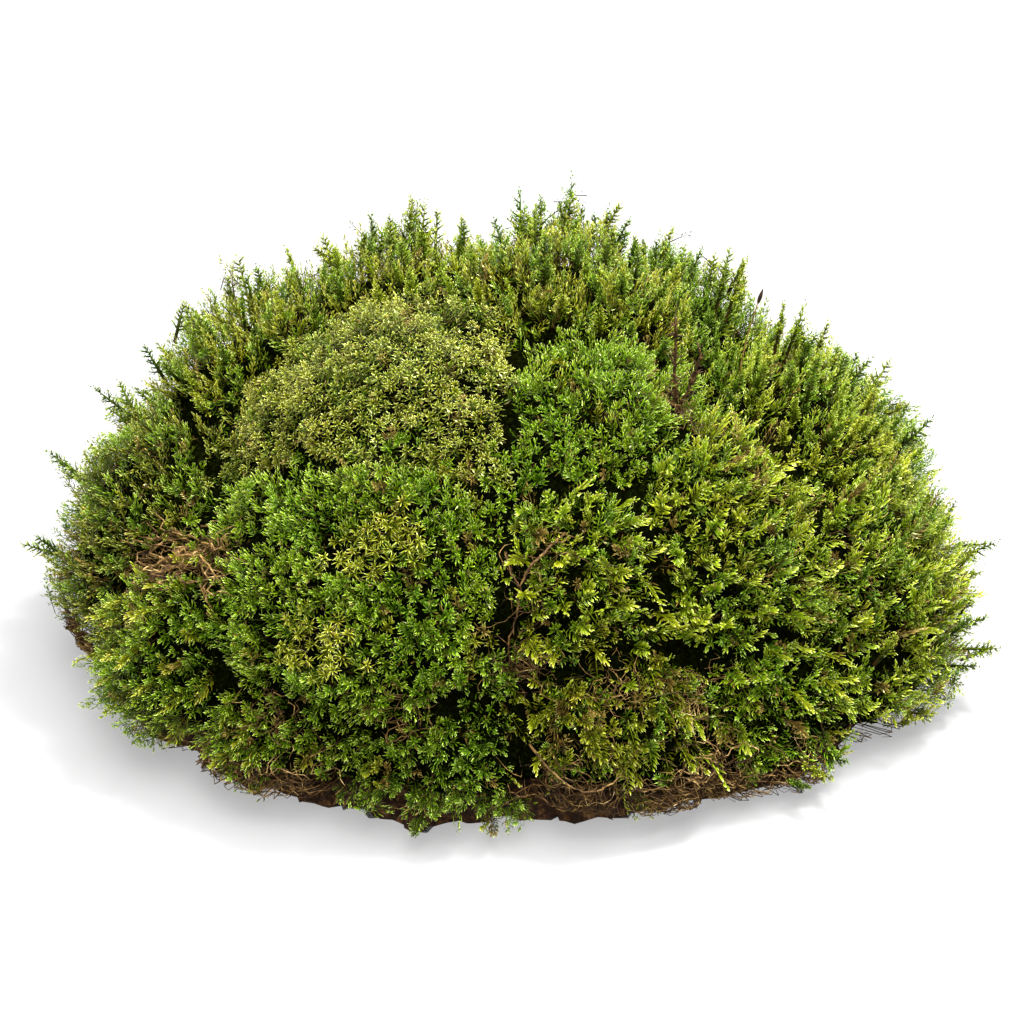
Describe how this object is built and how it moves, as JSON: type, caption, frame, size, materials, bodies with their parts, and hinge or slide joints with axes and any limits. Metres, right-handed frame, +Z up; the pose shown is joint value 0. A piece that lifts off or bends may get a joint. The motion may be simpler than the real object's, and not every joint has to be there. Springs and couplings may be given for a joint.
{
  "type": "moss clump",
  "caption": "Wild moss clump: a lumpy dome of mixed leafy and feathery mosses growing on a flat-based mat of soil and roots.",
  "frame": {"origin": "middle of the bounding box, on the flat cut underside", "axes": "+X to the right of the pictured side, +Y to the back, +Z up from the cut underside"},
  "size_m": [0.1768, 0.1548, 0.0833],
  "materials": {
    "olive": "satin, leafy",
    "bright": "satin, leafy",
    "deep": "satin, leafy",
    "yellow": "satin, leafy",
    "feather": "satin, leafy",
    "soil": "matt, crumbly",
    "twig": "matt, rough",
    "root": "matt, rough",
    "capsule": "satin"
  },
  "bodies": {
    "root": {"cushion_olive_dome": "olive", "cushion_left_ridge": "olive", "cushion_back_left": "olive", "cushion_front_dome": "bright", "cushion_left_foot": "bright", "cushion_bright_dome": "bright", "cushion_front_left_foot": "bright", "cushion_right_foot": "bright", "cushion_left_back": "bright", "cushion_left_flank": "deep", "cushion_front_foot": "deep", "cushion_back_right_ridge": "deep", "cushion_back_right": "deep", "cushion_crown_left": "yellow", "cushion_crown_right": "yellow", "cushion_right_shoulder": "yellow", "cushion_centre_fronds": "feather", "cushion_front_right_foot": "feather", "cushion_right_hem": "feather", "cushion_right_middle": "feather", "cushion_right_flank": "feather", "cushion_back": "feather", "soil_mat": "soil", "dead_stem": "twig", "forked_twig": "twig", "root_left": "root", "root_front": "root", "spore_capsule": "capsule"}
  },
  "joints": []
}
